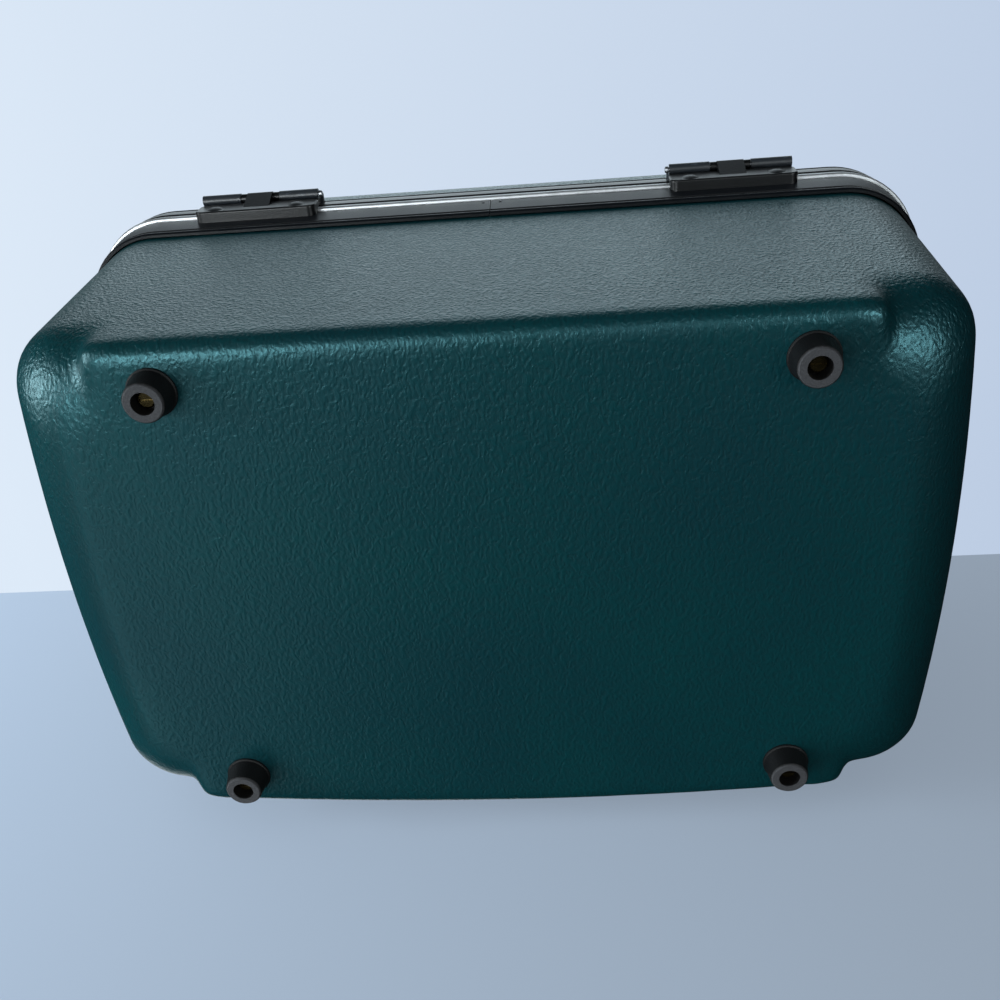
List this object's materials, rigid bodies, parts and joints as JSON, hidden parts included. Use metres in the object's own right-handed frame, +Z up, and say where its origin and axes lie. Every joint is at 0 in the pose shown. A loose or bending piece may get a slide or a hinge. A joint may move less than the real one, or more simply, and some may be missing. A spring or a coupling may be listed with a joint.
{
  "type": "train case",
  "caption": "Hard-shell train case with a hinged lid, framed rims, hasp latches, a folding handle, a lift-out tray and rubber feet.",
  "frame": {"origin": "middle of the bounding box, on the surface that the feet stand on", "axes": "+X along the case, +Y toward the hinges at the rear, +Z up toward the handle"},
  "size_m": [0.3622, 0.2362, 0.2095],
  "materials": {
    "shell": "dark teal moulded shell with a fine leather grain",
    "frame": "black extruded frame, satin",
    "strip": "bright drawn strip",
    "hinge": "black enamel, worn on the edges",
    "steel": "bare steel",
    "rivet": "black rivet heads worn to bare metal",
    "rubber": "black rubber",
    "brass": "brass",
    "latch": "black cast body",
    "chrome": "polished",
    "grip": "black moulded grip",
    "lining": "grey woven lining",
    "tray": "grey moulded tray",
    "mirror": "silvered glass",
    "nylon": "black nylon"
  },
  "bodies": {
    "base": {"base_shell": "shell", "base_frame": "frame", "metal_strip": "strip", "base_lining": "lining", "tray_rests": "lining", "hinge_base_leaf_left": "hinge", "hinge_base_leaf_right": "hinge", "hinge_pin_left": "steel", "hinge_pin_right": "steel", "hinge_spacers": "nylon", "hinge_base_rivets": "rivet", "latch_body_left": "latch", "latch_body_right": "latch", "hasp_pin_left": "steel", "hasp_pin_right": "steel", "latch_rivets": "chrome", "foot_front_left": "rubber", "foot_front_right": "rubber", "foot_rear_left": "rubber", "foot_rear_right": "rubber", "foot_screws": "brass", "foot_nuts": "steel"},
    "lid": {"lid_shell": "shell", "lid_frame": "frame", "lid_lining": "lining", "hinge_lid_leaf_left": "hinge", "hinge_lid_leaf_right": "hinge", "hinge_lid_rivets": "rivet", "keeper_left": "latch", "keeper_right": "latch", "keeper_rivets": "chrome", "handle_post_left": "latch", "handle_post_right": "latch", "handle_pin_left": "steel", "handle_pin_right": "steel", "handle_screws": "chrome", "mirror_frame": "frame", "mirror_glass": "mirror"},
    "handle": {"handle": "grip"},
    "tray": {"tray": "tray"},
    "hasp_left": {"hasp_left": "chrome"},
    "button_left": {"latch_button_left": "chrome"},
    "lock_left": {"lock_cylinder_left": "chrome"},
    "hasp_right": {"hasp_right": "chrome"},
    "button_right": {"latch_button_right": "chrome"},
    "lock_right": {"lock_cylinder_right": "chrome"}
  },
  "joints": [
    {"name": "lid_hinge", "type": "hinge", "parent": "base", "child": "lid", "pos_m": [0, 0.1159, 0.1546], "axis": [-1, 0, 0], "range_deg": [0, 100]},
    {"name": "handle_swing", "type": "hinge", "parent": "lid", "child": "handle", "pos_m": [0, 0, 0.2035], "axis": [-1, 0, 0], "range_deg": [0, 180]},
    {"name": "tray_lift", "type": "slide", "parent": "base", "child": "tray", "axis": [0, 0, 1], "range_m": [0, 0.03]},
    {"name": "hasp_left_swing", "type": "hinge", "parent": "base", "child": "hasp_left", "pos_m": [-0.1, -0.11435, 0.1372], "axis": [1, 0, 0], "range_deg": [0, 110]},
    {"name": "button_left_slide", "type": "slide", "parent": "base", "child": "button_left", "axis": [-1, 0, 0], "range_m": [0, 0.0042], "stiffness_N_per_m": 150},
    {"name": "lock_left_turn", "type": "hinge", "parent": "base", "child": "lock_left", "pos_m": [-0.083, -0.11175, 0.141], "axis": [0, -1, 0], "range_deg": [0, 90]},
    {"name": "hasp_right_swing", "type": "hinge", "parent": "base", "child": "hasp_right", "pos_m": [0.1, -0.11435, 0.1372], "axis": [1, 0, 0], "range_deg": [0, 110]},
    {"name": "button_right_slide", "type": "slide", "parent": "base", "child": "button_right", "axis": [1, 0, 0], "range_m": [0, 0.0042], "stiffness_N_per_m": 150},
    {"name": "lock_right_turn", "type": "hinge", "parent": "base", "child": "lock_right", "pos_m": [0.083, -0.11175, 0.141], "axis": [0, -1, 0], "range_deg": [0, 90]}
  ]
}
